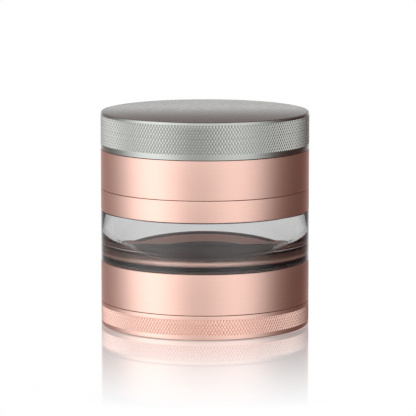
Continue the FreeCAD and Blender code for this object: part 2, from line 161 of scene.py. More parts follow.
def turned(corners: list[Corner], steps: int = ROUND_STEPS) -> Mesh:
    """Spins a closed outline about the Z axis.

    Args:
        corners: The outline's corners in order.
        steps: Facets round the axis.

    Returns:
        A closed mesh with its faces pointing outwards.
    """
    mesh = bmesh.new()
    verts = [mesh.verts.new((c.r, 0.0, c.z)) for c in corners]
    for index, vert in enumerate(verts):
        mesh.edges.new((vert, verts[(index + 1) % len(verts)]))
    for vert, corner in zip(verts, corners):
        if corner.rounding > 0.0:
            segments = min(24, max(4, round(corner.rounding / ARC_STEP)))
            bmesh.ops.bevel(mesh, geom=[vert], offset=corner.rounding, offset_type="OFFSET",
                            segments=segments, profile=0.5, affect="VERTICES", material=-1)
    revolve(mesh, steps)
    return sealed(mesh)


def sealed(mesh: Mesh) -> Mesh:
    """Welds doubled vertices and turns every face outwards.

    Args:
        mesh: The mesh to finish.

    Returns:
        The same mesh.
    """
    bmesh.ops.remove_doubles(mesh, verts=mesh.verts[:], dist=WELD)
    bmesh.ops.dissolve_degenerate(mesh, edges=mesh.edges[:], dist=WELD)
    bmesh.ops.recalc_face_normals(mesh, faces=mesh.faces[:])
    return mesh


def joined(meshes: list[Mesh]) -> Mesh:
    """Puts several closed meshes into one.

    Args:
        meshes: The meshes to gather, which are freed.

    Returns:
        One mesh that holds them all.
    """
    whole = bmesh.new()
    for mesh in meshes:
        part = stored("part", mesh)
        whole.from_mesh(part)
        bpy.data.meshes.remove(part)
    return whole


def set_radius(verts: list[bmesh.types.BMVert], radius: float) -> None:
    """Moves vertices straight towards or away from the Z axis.

    Args:
        verts: The vertices to move.
        radius: Their new distance from the axis.
    """
    for vert in verts:
        flat = vert.co.xy.normalized() * radius
        vert.co.x, vert.co.y = flat.x, flat.y


def trimmed_sleeve(mesh: Mesh, bottom: float, top: float, back: float) -> Mesh:
    """Cuts an open worked surface between two heights and closes it with a plain back.

    Args:
        mesh: The open surface round the Z axis.
        bottom: Lower cut.
        top: Upper cut.
        back: Radius of the plain back.

    Returns:
        A closed sleeve.
    """
    for height, normal in ((bottom, -UP), (top, UP)):
        bmesh.ops.bisect_plane(mesh, geom=all_of(mesh), dist=WELD, plane_co=UP * height, plane_no=normal,
                               clear_outer=True)
    bmesh.ops.remove_doubles(mesh, verts=mesh.verts[:], dist=WELD)
    rims = [edge for edge in mesh.edges if edge.is_boundary]
    grown = bmesh.ops.extrude_edge_only(mesh, edges=rims)["geom"]
    set_radius(verts_in(grown), back)
    bmesh.ops.bridge_loops(mesh, edges=rim_in(grown))
    return sealed(mesh)


def drilled(mesh: Mesh, cutters: Mesh) -> Mesh:
    """Cuts holes through a solid.

    Args:
        mesh: The solid, which is freed.
        cutters: The drills, which are freed.

    Returns:
        The solid with its holes.
    """
    solid = linked("drilled_solid", stored("drilled_solid", mesh))
    drills = linked("drills", stored("drills", cutters))
    cut = solid.modifiers.new("holes", "BOOLEAN")
    cut.operation, cut.solver, cut.object = "DIFFERENCE", "EXACT", drills
    graph = bpy.context.evaluated_depsgraph_get()
    result = bmesh.new()
    result.from_object(solid, graph)
    for holder in (solid, drills):
        data = holder.data
        bpy.data.objects.remove(holder)
        bpy.data.meshes.remove(data)
    return sealed(result)


# ---- worked surfaces


@dataclass(frozen=True)
class Knurl:
    """Diamond knurling: raised, flat-topped diamonds between crossing grooves."""

    radius: float
    bottom: float
    top: float
    depth: float = 0.00014
    count: int = 208
    pitch: float = 0.00165
    flank: float = 0.62
    backing: float = 0.0004

    def sleeve(self) -> Mesh:
        """Builds the knurled band.

        Returns:
            A closed sleeve whose crests stand at the band's radius.
        """
        root = self.radius - self.depth
        half_width = root * math.tan(math.pi / self.count)
        half_height = self.pitch / 2.0
        reach = half_width * half_height / math.hypot(half_width, half_height)
        mesh = bmesh.new()
        stand = Matrix(((0, 0, 1, root), (half_width, 0, 0, 0), (0, half_height, 0, 0), (0, 0, 0, 1)))
        bmesh.ops.create_circle(mesh, cap_ends=True, segments=4, radius=1.0, matrix=stand)
        foot = mesh.verts[:]
        bmesh.ops.inset_individual(mesh, faces=mesh.faces[:], thickness=reach * self.flank, depth=0.0)
        set_radius(foot, root)
        set_radius([vert for vert in mesh.verts if vert not in foot], self.radius)
        cell = all_of(mesh)
        rows = math.ceil((self.top - self.bottom) / half_height) + 1
        for row in range(1, rows + 1):
            verts = verts_in(bmesh.ops.duplicate(mesh, geom=cell)["geom"])
            bmesh.ops.rotate(mesh, verts=verts, cent=(0, 0, 0),
                             matrix=Matrix.Rotation((row % 2) * math.pi / self.count, 3, "Z"))
            bmesh.ops.translate(mesh, verts=verts, vec=UP * row * half_height)
        bmesh.ops.translate(mesh, verts=mesh.verts[:], vec=UP * self.bottom)
        repeat_round(mesh, self.count)
        bmesh.ops.remove_doubles(mesh, verts=mesh.verts[:], dist=PATTERN_WELD)
        return trimmed_sleeve(mesh, self.bottom, self.top, root - self.backing)


@dataclass(frozen=True)
class Thread:
    """A right-handed screw thread cut into a neck or a bore."""

    radius: float
    bottom: float
    top: float
    facing: Facing
    pitch: float = 0.0015
    depth: float = 0.0006
    crest: float = 0.18
    root: float = 0.12
    backing: float = 0.0003
    recess_depth: float = 0.0008
    steps: int = 96

    def recess(self) -> list[Corner]:
        """Gives the recess that the sleeve fills, from its bottom to its top."""
        core = self.radius - self.facing.value * self.recess_depth
        return [Corner(core, self.bottom), Corner(core, self.top)]

    def sleeve(self) -> Mesh:
        """Sweeps one turn's profile along the helix.

        Returns:
            A closed sleeve whose crests stand at the thread's radius.
        """
        sign = self.facing.value
        deep = self.radius - sign * self.depth
        middle = 0.5 + self.crest / 2
        heights = (0.0, self.crest, middle - self.root / 2, middle + self.root / 2, 1.0)
        radii = (self.radius, self.radius, deep, deep, self.radius)
        start = self.bottom - 1.5 * self.pitch
        turns = math.ceil((self.top - self.bottom) / self.pitch) + 2
        mesh = bmesh.new()
        verts = [mesh.verts.new((r, 0.0, start + h * self.pitch)) for r, h in zip(radii, heights)]
        for lower, upper in zip(verts, verts[1:]):
            mesh.edges.new((lower, upper))
        bmesh.ops.spin(mesh, geom=mesh.verts[:] + mesh.edges[:], cent=(0, 0, 0), axis=UP,
                       dvec=UP * self.pitch / self.steps, angle=AROUND * turns, steps=self.steps * turns,
                       use_duplicate=False)
        bmesh.ops.remove_doubles(mesh, verts=mesh.verts[:], dist=PATTERN_WELD)
        return trimmed_sleeve(mesh, self.bottom, self.top, deep - sign * self.backing)


@dataclass(frozen=True)
class ToothRing:
    """One ring of diamond teeth standing on a floor or hanging from a ceiling."""

    radius: float
    count: int
    root: float
    tip: float
    width: float = 0.0028
    length: float = 0.0039
    sink: float = 0.0003
    edge: float = 0.00015

    def teeth(self) -> Mesh:
        """Builds the ring's teeth.

        Returns:
            The teeth as closed prisms whose feet are sunk into their floor.
        """
        rise = math.copysign(1.0, self.tip - self.root)
        foot = self.root - rise * self.sink
        mesh = bmesh.new()
        shape = Matrix.Diagonal((self.width / 2, self.length / 2, 1, 1))
        bmesh.ops.create_circle(mesh, cap_ends=True, segments=4, radius=1.0,
                                matrix=Matrix.Translation((self.radius, 0, foot)) @ shape)
        top = bmesh.ops.extrude_face_region(mesh, geom=mesh.faces[:])["geom"]
        bmesh.ops.translate(mesh, verts=verts_in(top), vec=UP * (self.tip - foot))
        bmesh.ops.recalc_face_normals(mesh, faces=mesh.faces[:])
        bmesh.ops.bevel(mesh, geom=mesh.edges[:], offset=self.edge, offset_type="OFFSET", segments=2,
                        profile=0.5, affect="EDGES", material=-1)
        repeat_round(mesh, self.count)
        return sealed(mesh)


# ---- finishes


class NodeTree:
    """Adds and links nodes in a material's or a group's tree."""

    def __init__(self, tree: bpy.types.NodeTree) -> None:
        """Keeps the tree.

        Args:
            tree: The tree to work in.
        """
        self.tree = tree

    def add(self, kind: str, **settings: object) -> bpy.types.Node:
        """Adds a node and sets its properties.

        Args:
            kind: The node's type.
            settings: Its properties by name.

        Returns:
            The new node.
        """
        node = self.tree.nodes.new(kind)
        for name, value in settings.items():
            setattr(node, name, value)
        return node

    def put(self, socket: Socket, value: object) -> None:
        """Fills an input.

        Args:
            socket: The input.
            value: A socket to link, or a value to set.
        """
        if isinstance(value, Socket):
            self.tree.links.new(value, socket)
        else:
            socket.default_value = value

    def feed(self, node: bpy.types.Node, **inputs: object) -> bpy.types.Node:
        """Sets or links a node's inputs, named with _ for a space.

        Args:
            node: The node.
            inputs: A socket to link, or a value to set, by input name.

        Returns:
            The same node.
        """
        for name, value in inputs.items():
            self.put(node.inputs[name.replace("_", " ")], value)
        return node

    def noise(self, where: Socket, scale: float, detail: float) -> Socket:
        """Adds a noise over the piece and gives its value."""
        node = self.add("ShaderNodeTexNoise")
        return self.feed(node, Vector=where, Scale=scale, Detail=detail).outputs["Fac"]

    def maths(self, operation: str, *values: object) -> Socket:
        """Adds one Math node.

        Args:
            operation: What it works out.
            values: Its inputs, each a socket or a number.

        Returns:
            Its result.
        """
        node = self.add("ShaderNodeMath", operation=operation)
        for socket, value in zip(node.inputs, values):
            self.put(socket, value)
        return node.outputs[0]


def turned_grain_group() -> bpy.types.NodeTree:
    """Builds the effect of a turning tool: fine rings round the axis, with a little mottling.

    Returns:
        A group with the inputs Vector, Lines and Mottle and the outputs Height, Streak and Patch.
    """
    name = "turned_grain"
    if name in bpy.data.node_groups:
        return bpy.data.node_groups[name]
    group = bpy.data.node_groups.new(name, "ShaderNodeTree")
    group.interface.new_socket("Vector", in_out="INPUT", socket_type="NodeSocketVector")
    for entry, value in (("Lines", 9000.0), ("Mottle", 700.0)):
        group.interface.new_socket(entry, in_out="INPUT", socket_type="NodeSocketFloat").default_value = value
    for output in ("Height", "Streak", "Patch"):
        group.interface.new_socket(output, in_out="OUTPUT", socket_type="NodeSocketFloat")
    nodes = NodeTree(group)
    ends = nodes.add("NodeGroupInput")
    split = nodes.feed(nodes.add("ShaderNodeSeparateXYZ"), Vector=ends.outputs["Vector"])
    square = nodes.maths("ADD", nodes.maths("MULTIPLY", split.outputs["X"], split.outputs["X"]),
                         nodes.maths("MULTIPLY", split.outputs["Y"], split.outputs["Y"]))
    across = nodes.maths("ADD", nodes.maths("SQRT", square), split.outputs["Z"])
    lines = nodes.maths("MULTIPLY", across, ends.outputs["Lines"])
    rings = nodes.add("ShaderNodeTexNoise", noise_dimensions="1D")
    nodes.feed(rings, W=lines, Scale=1.0, Detail=3.0, Roughness=0.6)
    drift = nodes.add("ShaderNodeTexNoise", noise_dimensions="1D")
    nodes.feed(drift, W=nodes.maths("MULTIPLY", lines, 0.11), Scale=1.0, Detail=2.0, Roughness=0.5)
    patch = nodes.add("ShaderNodeTexNoise", noise_dimensions="3D")
    nodes.feed(patch, Vector=ends.outputs["Vector"], Scale=ends.outputs["Mottle"], Detail=3.0, Roughness=0.55)
    finish = nodes.add("NodeGroupOutput")
    nodes.feed(finish, Height=rings.outputs["Fac"], Streak=drift.outputs["Fac"], Patch=patch.outputs["Fac"])
    return group


def start_material(name: str) -> tuple[Material, NodeTree, bpy.types.Node, Socket]:
    """Makes an empty node material.

    Args:
        name: The material's name.

    Returns:
        The material, its tree, its Principled node and the place on the piece.
    """
    material = bpy.data.materials.new(name)
    material.use_nodes = True
    nodes = NodeTree(material.node_tree)
    place = nodes.add("ShaderNodeTexCoord").outputs["Object"]
    return material, nodes, material.node_tree.nodes["Principled BSDF"], place


def blend_colours(nodes: NodeTree, factor: Socket, low: Colour, high: Colour) -> Socket:
    """Mixes two colours by a mask.

    Args:
        nodes: The tree.
        factor: The mask.
        low: The colour where the mask is 0.
        high: The colour where the mask is 1.

    Returns:
        The mixed colour.
    """
    ramp = nodes.add("ShaderNodeValToRGB")
    for element, position, colour in zip(ramp.color_ramp.elements, (0.3, 0.7), (low, high)):
        element.position, element.color = position, (*colour, 1.0)
    return nodes.feed(ramp, Fac=factor).outputs["Color"]


@dataclass(frozen=True)
class TurnedMetal:
    """Satin anodised aluminium with the rings of a turning tool, dyed under a clear oxide layer."""

    name: str
    colour: Colour
    roughness: float
    metallic: float = 1.0
    oxide: float = 0.0
    grazing: Colour = (1.0, 1.0, 1.0)
    oxide_ior: float = 3.6
    lines: float = 9000.0
    bump: float = 0.03
    uneven: float = 0.015

    def material(self) -> Material:
        """Builds the finish.

        Returns:
            The material.
        """
        material, nodes, shader, place = start_material(self.name)
        grain = nodes.add("ShaderNodeGroup", node_tree=turned_grain_group())
        nodes.feed(grain, Vector=place, Lines=self.lines)
        dark = tuple(channel * (1.0 - self.uneven) for channel in self.colour)
        light = tuple(min(1.0, channel * (1.0 + self.uneven)) for channel in self.colour)
        tint = blend_colours(nodes, grain.outputs["Streak"], dark, light)
        rough = nodes.maths("MULTIPLY_ADD", grain.outputs["Patch"], 0.10, self.roughness - 0.05)
        rough = nodes.maths("SUBTRACT", rough, 0.04)
        rough = nodes.maths("MULTIPLY_ADD", grain.outputs["Height"], 0.08, rough)
        bump = nodes.add("ShaderNodeBump")
        nodes.feed(bump, Strength=self.bump, Distance=0.00002, Height=grain.outputs["Height"])
        nodes.feed(shader, Base_Color=tint, Roughness=rough, Normal=bump.outputs["Normal"],
                   Metallic=self.metallic, Specular_Tint=(*self.grazing, 1.0),
                   Coat_Weight=self.oxide, Coat_IOR=self.oxide_ior,
                   Coat_Roughness=self.roughness, Coat_Normal=bump.outputs["Normal"])
        return material


@dataclass(frozen=True)
class PlainMetal:
    """Bright or satin metal with no turning rings."""

    name: str
    colour: Colour
    roughness: float

    def material(self) -> Material:
        """Builds the finish.

        Returns:
            The material.
        """
        material, nodes, shader, place = start_material(self.name)
        cloud = nodes.noise(place, 900.0, 4.0)
        dark = tuple(channel * 0.88 for channel in self.colour)
        tint = blend_colours(nodes, cloud, dark, self.colour)
        rough = nodes.maths("MULTIPLY_ADD", cloud, 0.14, self.roughness - 0.07)
        nodes.feed(shader, Base_Color=tint, Roughness=rough, Metallic=1.0)
        return material


@dataclass(frozen=True)
class MouldedSoft:
    """Rubber or plastic with a fine moulded grain."""

    name: str
    colour: Colour
    roughness: float

    def material(self) -> Material:
        """Builds the finish.

        Returns:
            The material.
        """
        material, nodes, shader, place = start_material(self.name)
        grain = nodes.noise(place, 5000.0, 2.0)
        bump = nodes.add("ShaderNodeBump")
        nodes.feed(bump, Strength=0.15, Distance=0.00003, Height=grain)
        light = tuple(min(1.0, channel * 1.2 + 0.004) for channel in self.colour)
        tint = blend_colours(nodes, grain, self.colour, light)
        nodes.feed(shader, Base_Color=tint, Roughness=self.roughness, Normal=bump.outputs["Normal"])
        return material


@dataclass(frozen=True)
class ClearWindow:
    """Polished clear plastic."""

    name: str
    colour: Colour
    ior: float

    def material(self) -> Material:
        """Builds the finish.

        Returns:
            The material.
        """
        material, nodes, shader, place = start_material(self.name)
        smear = nodes.noise(place, 160.0, 3.0)
        rough = nodes.maths("MULTIPLY", nodes.maths("GREATER_THAN", smear, 0.62), 0.012)
        nodes.feed(shader, Base_Color=(*self.colour, 1.0), Roughness=rough, Transmission_Weight=1.0,
                   IOR=self.ior)
        return material


def make_finishes() -> dict[Slot, Material]:
    """Builds the materials.

    Returns:
        The material of each slot.
    """
    looks = {
        Slot.ROSE: TurnedMetal("rose_metal", (0.71, 0.33, 0.22), 0.36, 0.86, 0.92, (1.0, 0.55, 0.50)),
        Slot.SILVER: TurnedMetal("silver_metal", (0.42, 0.43, 0.41), 0.22, uneven=0.025),
        Slot.CLEAR: ClearWindow("clear_plastic", (0.985, 0.99, 0.99), 1.49),
        Slot.RUBBER: MouldedSoft("seal_rubber", (0.012, 0.012, 0.013), 0.55),
        Slot.STEEL: PlainMetal("satin_steel", (0.46, 0.45, 0.43), 0.32),
        Slot.WEAVE: PlainMetal("woven_steel", (0.27, 0.24, 0.225), 0.42),
        Slot.NICKEL: PlainMetal("bright_nickel", (0.66, 0.63, 0.58), 0.12),
        Slot.PLASTIC: MouldedSoft("slip_plastic", (0.80, 0.80, 0.78), 0.42),
    }
    return {slot: look.material() for slot, look in looks.items()}


# ---- the grinder


@dataclass
class SubAssembly:
    """A part of the grinder that rides on one body."""

    finishes: dict[Slot, Material]
    body: str

    def piece(self, name: str, mesh: Mesh, slot: Slot, node: str) -> None:
        """Turns a mesh into a finished piece.

        Args:
            name: The piece's name.
            mesh: Its mesh, which is freed.
            slot: The slot of its finish.
            node: The CAD node that it stands for.
        """
        data = stored(name, mesh)
        data.materials.append(self.finishes[slot])
        data.shade_smooth()
        data.set_sharp_from_angle(angle=SHARP)
        item = linked(name, data)
        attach(item, self.body)
        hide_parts(node)
        LOG.info("%s: %d faces on %s", name, len(data.polygons), self.body)

    def flat_piece(self, node: str, slot: Slot, inside: float = 0.0, edge: float = 0.0001) -> None:
        """Fills the box of a CAD node with a flat ring or disc.

        Args:
            node: The CAD node.
            slot: The slot of its finish.
            inside: Radius of its hole, 0 for a disc.
            edge: Rounding of its edges.
        """
        low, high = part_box(node)
        bore_edge = edge if inside else 0.0
        mesh = turned([Corner(inside, low.z, bore_edge), Corner(high.x, low.z, edge),
                       Corner(high.x, high.z, edge), Corner(inside, high.z, bore_edge)])
        self.piece(f"{node}_turned", mesh, slot, node)


@dataclass
class Levels:
    """Heights and the outside radius, read from the CAD nodes."""

    seam_gap: float = 0.00015
    upper_neck_length: float = 0.0050
    radius: float = field(init=False)
    cup_rim: float = field(init=False)
    cup_neck_top: float = field(init=False)
    sieve_bottom: float = field(init=False)
    sieve_top: float = field(init=False)
    window_top: float = field(init=False)
    ring_rim: float = field(init=False)
    chamber_bottom: float = field(init=False)
    lower_neck_bottom: float = field(init=False)
    chamber_rim: float = field(init=False)
    upper_neck_top: float = field(init=False)
    lid_bottom: float = field(init=False)
    lid_top: float = field(init=False)

    def __post_init__(self) -> None:
        """Reads the boxes of the CAD nodes."""
        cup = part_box("catch_cup")
        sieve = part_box("sieve_body")
        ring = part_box("window_top_ring")
        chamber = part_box("grinding_chamber")
        self.radius = cup[1].x
        self.cup_neck_top = cup[1].z
        self.sieve_bottom, self.sieve_top = sieve[0].z, sieve[1].z
        self.cup_rim = self.sieve_bottom - self.seam_gap
        self.window_top, self.ring_rim = ring[0].z, ring[1].z
        self.chamber_bottom = self.ring_rim + self.seam_gap
        self.lower_neck_bottom, self.upper_neck_top = chamber[0].z, chamber[1].z
        self.chamber_rim = self.upper_neck_top - self.upper_neck_length
        self.lid_bottom = self.chamber_rim + self.seam_gap
        self.lid_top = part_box("lid_shell")[1].z


@dataclass
class Fits:
    """Radii that neighbouring pieces share."""

    bore: float = 0.0291
    neck: float = 0.0290
    neck_inside: float = 0.0265
    lid_bore: float = 0.02895
    upper_neck: float = 0.0286
    cavity: float = 0.0262
    post: float = 0.0060
    ring_margin: float = 0.0006
    pocket: float = 0.00455
    magnet: float = 0.0045
    groove_depth: float = 0.0010
    seam_edge: float = 0.00012

    def tooth_radius(self, ring: int) -> float:
        """Gives the middle radius of a ring of teeth, 0 beside the post and 4 beside the wall."""
        pitch = (self.cavity - self.post - 2 * self.ring_margin) / 5
        return self.post + self.ring_margin + pitch * (ring + 0.5)


@dataclass
class TurnedBody(SubAssembly):
    """A body turned from metal, which needs the grinder's levels and fits."""

    levels: Levels
    fits: Fits


@dataclass
class CatchCup(TurnedBody):
    """The shallow knurled cup that the grinder stands on."""

    floor: float = 0.0020
    corner: float = 0.0020
    foot_edge: float = 0.0005
    knurl_bottom: float = 0.0015
    knurl_top: float = 0.0062
    knurl_depth: float = 0.00014
    groove_setback: float = 0.0005
    groove_height: float = 0.0011

    def build(self) -> None:
        """Builds the cup, with its knurl, its thread and the groove for its seal ring."""
        lv, ft = self.levels, self.fits
        groove = lv.cup_rim + self.groove_setback
        groove_top = groove + self.groove_height
        deep = ft.neck - ft.groove_depth
        inset = lv.radius - self.knurl_depth - 0.0002
        thread = Thread(ft.neck, groove_top + 0.0001, lv.cup_neck_top - 0.0002, Facing.OUT)
        shell = turned([
            Corner(0.0, 0.0),
            Corner(lv.radius, 0.0, self.foot_edge),
            Corner(lv.radius, self.knurl_bottom),
            Corner(inset, self.knurl_bottom),
            Corner(inset, self.knurl_top),
            Corner(lv.radius, self.knurl_top),
            Corner(lv.radius, lv.cup_rim, ft.seam_edge),
            Corner(ft.neck, lv.cup_rim),
            Corner(ft.neck, groove),
            Corner(deep, groove),
            Corner(deep, groove_top),
            Corner(ft.neck, groove_top),
            Corner(ft.neck, thread.bottom),
            *thread.recess(),
            Corner(ft.neck - 0.0004, thread.top),
            Corner(ft.neck - 0.0005, lv.cup_neck_top, 0.0001),
            Corner(ft.neck_inside, lv.cup_neck_top, 0.0002),
            Corner(ft.neck_inside, self.floor, self.corner),
            Corner(0.0, self.floor),
        ])
        knurl = Knurl(lv.radius, self.knurl_bottom, self.knurl_top, self.knurl_depth).sleeve()
        self.piece("catch_cup_turned", joined([shell, knurl, thread.sleeve()]), Slot.ROSE, "catch_cup")


@dataclass
class SealRing(SubAssembly):
    """A round-section seal ring in its groove."""

    node: str
    sides: int = 16

    def build(self) -> None:
        """Builds the ring inside the box of its CAD node."""
        low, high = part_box(self.node)
        section = (high.z - low.z) / 2.0
        mesh = bmesh.new()
        middle = Matrix.Translation((high.x - section, 0, (low.z + high.z) / 2))
        bmesh.ops.create_circle(mesh, cap_ends=False, segments=self.sides, radius=section,
                                matrix=middle @ Matrix.Rotation(math.pi / 2, 4, "X"))
        revolve(mesh)
        self.piece(f"{self.node}_round", sealed(mesh), Slot.RUBBER, self.node)


@dataclass
class Weave:
    """A round cut of plain-woven wire cloth."""

    radius: float
    middle: float
    pitch: float = 0.00050
    wire: float = 0.00017
    lift: float = 0.00007

    def strand(self, half: int) -> Mesh:
        """Runs one wire along X, up over one crossing and down under the next.

        Args:
            half: Crossings on each side of the middle one.

        Returns:
            The open wire at the weave's middle height.
        """
        mesh = bmesh.new()
        start = Matrix.Translation((-(half + 1) * self.pitch, 0, 0)) @ Matrix.Rotation(math.pi / 2, 4, "Y")
        bmesh.ops.create_circle(mesh, cap_ends=False, segments=4, radius=self.wire / 2, matrix=start)
        rim, height = mesh.edges[:], 0.0
        for crossing in range(-half, half + 1):
            target = self.lift if crossing % 2 else -self.lift
            grown = bmesh.ops.extrude_edge_only(mesh, edges=rim)["geom"]
            bmesh.ops.translate(mesh, verts=verts_in(grown), vec=(self.pitch, 0, target - height))
            rim = rim_in(grown)
            height = target
        return mesh

    def cloth(self) -> Mesh:
        """Lays the wires side by side, crosses them with a second set and trims the disc.

        Returns:
            The woven disc.
        """
        half = math.floor(self.radius / self.pitch)
        mesh = self.strand(half)
        strand = all_of(mesh)
        for row in range(-half, half + 1):
            verts = verts_in(bmesh.ops.duplicate(mesh, geom=strand)["geom"])
            bmesh.ops.scale(mesh, verts=verts, vec=(1, 1, -1 if row % 2 else 1))
            bmesh.ops.translate(mesh, verts=verts, vec=(0, row * self.pitch, 0))
        bmesh.ops.delete(mesh, geom=verts_in(strand), context="VERTS")
        verts = verts_in(bmesh.ops.duplicate(mesh, geom=all_of(mesh))["geom"])
        bmesh.ops.rotate(mesh, verts=verts, cent=(0, 0, 0), matrix=Matrix.Rotation(math.pi / 2, 3, "Z"))
        bmesh.ops.scale(mesh, verts=verts, vec=(1, 1, -1))
        outside = [vert for vert in mesh.verts if vert.co.xy.length > self.radius]
        bmesh.ops.delete(mesh, geom=outside, context="VERTS")
        bmesh.ops.holes_fill(mesh, edges=[edge for edge in mesh.edges if edge.is_boundary], sides=4)
        bmesh.ops.translate(mesh, verts=mesh.verts[:], vec=UP * self.middle)
        bmesh.ops.recalc_face_normals(mesh, faces=mesh.faces[:])
        return mesh


@dataclass
class Sieve(SubAssembly):
    """The woven mesh with the gasket, frame and clamp ring that hold it."""

    cloth_radius: float = 0.0229

    def build(self) -> None:
        """Builds the sieve's pieces at the heights of their CAD nodes."""
        low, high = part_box("sieve_mesh")
        cloth = Weave(self.cloth_radius, (low.z + high.z) / 2).cloth()
        self.piece("sieve_cloth", cloth, Slot.WEAVE, "sieve_mesh")
        frame_low, frame_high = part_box("sieve_frame")
        edge, seat = SEAL_EDGE, self.cloth_radius + SEAL_EDGE
        frame_ring = turned([
            Corner(SIEVE_OPENING, frame_low.z, edge), Corner(frame_high.x, frame_low.z, edge),
            Corner(frame_high.x, frame_high.z, edge), Corner(seat, frame_high.z),
            Corner(seat, low.z), Corner(SIEVE_OPENING, low.z, edge),
        ])
        self.piece("sieve_frame_turned", frame_ring, Slot.STEEL, "sieve_frame")
        for node in ("sieve_gasket", "sieve_clamp_ring"):
            self.flat_piece(node, Slot.RUBBER, SIEVE_OPENING, edge)


@dataclass
class WindowSection(TurnedBody):
    """The sieve body, the clear window and the threaded ring above it."""

    seat_radius: float = 0.0240
    sieve_bore: float = 0.0255
    seat_thickness: float = 0.0010
    bore_relief: float = 0.0004
    seal_inset: float = 0.0009
    seal_width: float = 0.0016
    seal_depth: float = 0.0004
    wall: float = 0.0035
    lip: float = 0.0002
    bowl: float = 0.0090
    bond: float = 0.00005
    glass_edge: float = 0.0003
    glass_foot: float = 0.0005
    groove_setback: float = 0.0005
    groove_height: float = 0.0011

    def build(self) -> None:
        """Builds the section."""
        self.build_sieve_body()
        self.build_window()
        self.build_top_ring()

    def build_sieve_body(self) -> None:
        """Builds the band under the window, with its threaded bore and the sieve's seat."""
        lv, ft = self.levels, self.fits
        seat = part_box("sieve_gasket")[0].z
        underside = seat - self.seat_thickness
        cone_foot = underside - (self.sieve_bore - SIEVE_OPENING)
        bore_top = lv.cup_neck_top + self.bore_relief
        outside = lv.radius - self.seal_inset
        inside = outside - self.seal_width
        recess = lv.sieve_top - self.seal_depth
        thread = Thread(ft.bore, lv.sieve_bottom + 0.0004, bore_top - 0.0003, Facing.IN)
        shell = turned([
            Corner(ft.bore, lv.sieve_bottom, ft.seam_edge),
            Corner(lv.radius, lv.sieve_bottom, ft.seam_edge),
            Corner(lv.radius, lv.sieve_top, ft.seam_edge),
            Corner(outside, lv.sieve_top),
            Corner(outside, recess),
            Corner(inside, recess),
            Corner(inside, lv.sieve_top),
            Corner(self.seat_radius, lv.sieve_top),
            Corner(self.seat_radius, seat),
            Corner(SIEVE_OPENING, seat),
            Corner(SIEVE_OPENING, underside),
            Corner(self.sieve_bore, cone_foot),
            Corner(self.sieve_bore, bore_top, ft.seam_edge),
            Corner(ft.bore, bore_top),
            Corner(ft.bore, thread.top),
            *reversed(thread.recess()),
            Corner(ft.bore, thread.bottom),
        ])
        self.piece("sieve_body_turned", joined([shell, thread.sleeve()]), Slot.ROSE, "sieve_body")

    def build_window(self) -> None:
        """Builds the clear ring with its bowl-shaped foot, and the flat seals at its two ends.

        The foot is pressed into the ring below it, so that no air lies between them.
        """
        lv = self.levels
        inside = lv.radius - self.wall
        foot = lv.sieve_top + self.lip
        sweep = math.acos((SIEVE_OPENING - inside + self.bowl) / self.bowl)
        knee = foot + (inside - SIEVE_OPENING) / math.tan(sweep)
        glass = turned([
            Corner(SIEVE_OPENING, lv.sieve_top - self.bond),
            Corner(lv.radius, lv.sieve_top - self.bond, self.glass_foot),
            Corner(lv.radius, lv.window_top, self.glass_edge),
            Corner(inside, lv.window_top),
            Corner(inside, knee, foot + self.bowl * math.sin(sweep) - knee),
            Corner(SIEVE_OPENING, foot),
        ])
        self.piece("window_clear", glass, Slot.CLEAR, "window_glass")
        seal_inside = lv.radius - self.seal_inset - self.seal_width
        for node in ("window_lower_seal", "window_upper_seal"):
            self.flat_piece(node, Slot.RUBBER, seal_inside, SEAL_EDGE)

    def build_top_ring(self) -> None:
        """Builds the ring above the window, threaded for the chamber."""
        lv, ft = self.levels, self.fits
        inside = lv.radius - self.wall
        seal_outside = lv.radius - self.seal_inset
        seal_inside = seal_outside - self.seal_width
        recess = lv.window_top + self.seal_depth
        groove_top = lv.ring_rim - self.groove_setback
        groove = groove_top - self.groove_height
        deep = ft.bore + ft.groove_depth
        shoulder = lv.lower_neck_bottom - self.bore_relief
        thread = Thread(ft.bore, shoulder + 0.0002, groove - 0.0002, Facing.IN)
        shell = turned([
            Corner(inside, lv.window_top),
            Corner(seal_inside, lv.window_top),
            Corner(seal_inside, recess),
            Corner(seal_outside, recess),
            Corner(seal_outside, lv.window_top),
            Corner(lv.radius, lv.window_top, ft.seam_edge),
            Corner(lv.radius, lv.ring_rim, ft.seam_edge),
            Corner(ft.bore, lv.ring_rim, ft.seam_edge),
            Corner(ft.bore, groove_top),
            Corner(deep, groove_top),
            Corner(deep, groove),
            Corner(ft.bore, groove),
            Corner(ft.bore, thread.top),
            *reversed(thread.recess()),
            Corner(ft.bore, thread.bottom),
            Corner(ft.bore, shoulder),
            Corner(inside, shoulder, ft.seam_edge),
        ])
        self.piece("window_top_ring_turned", joined([shell, thread.sleeve()]), Slot.ROSE, "window_top_ring")


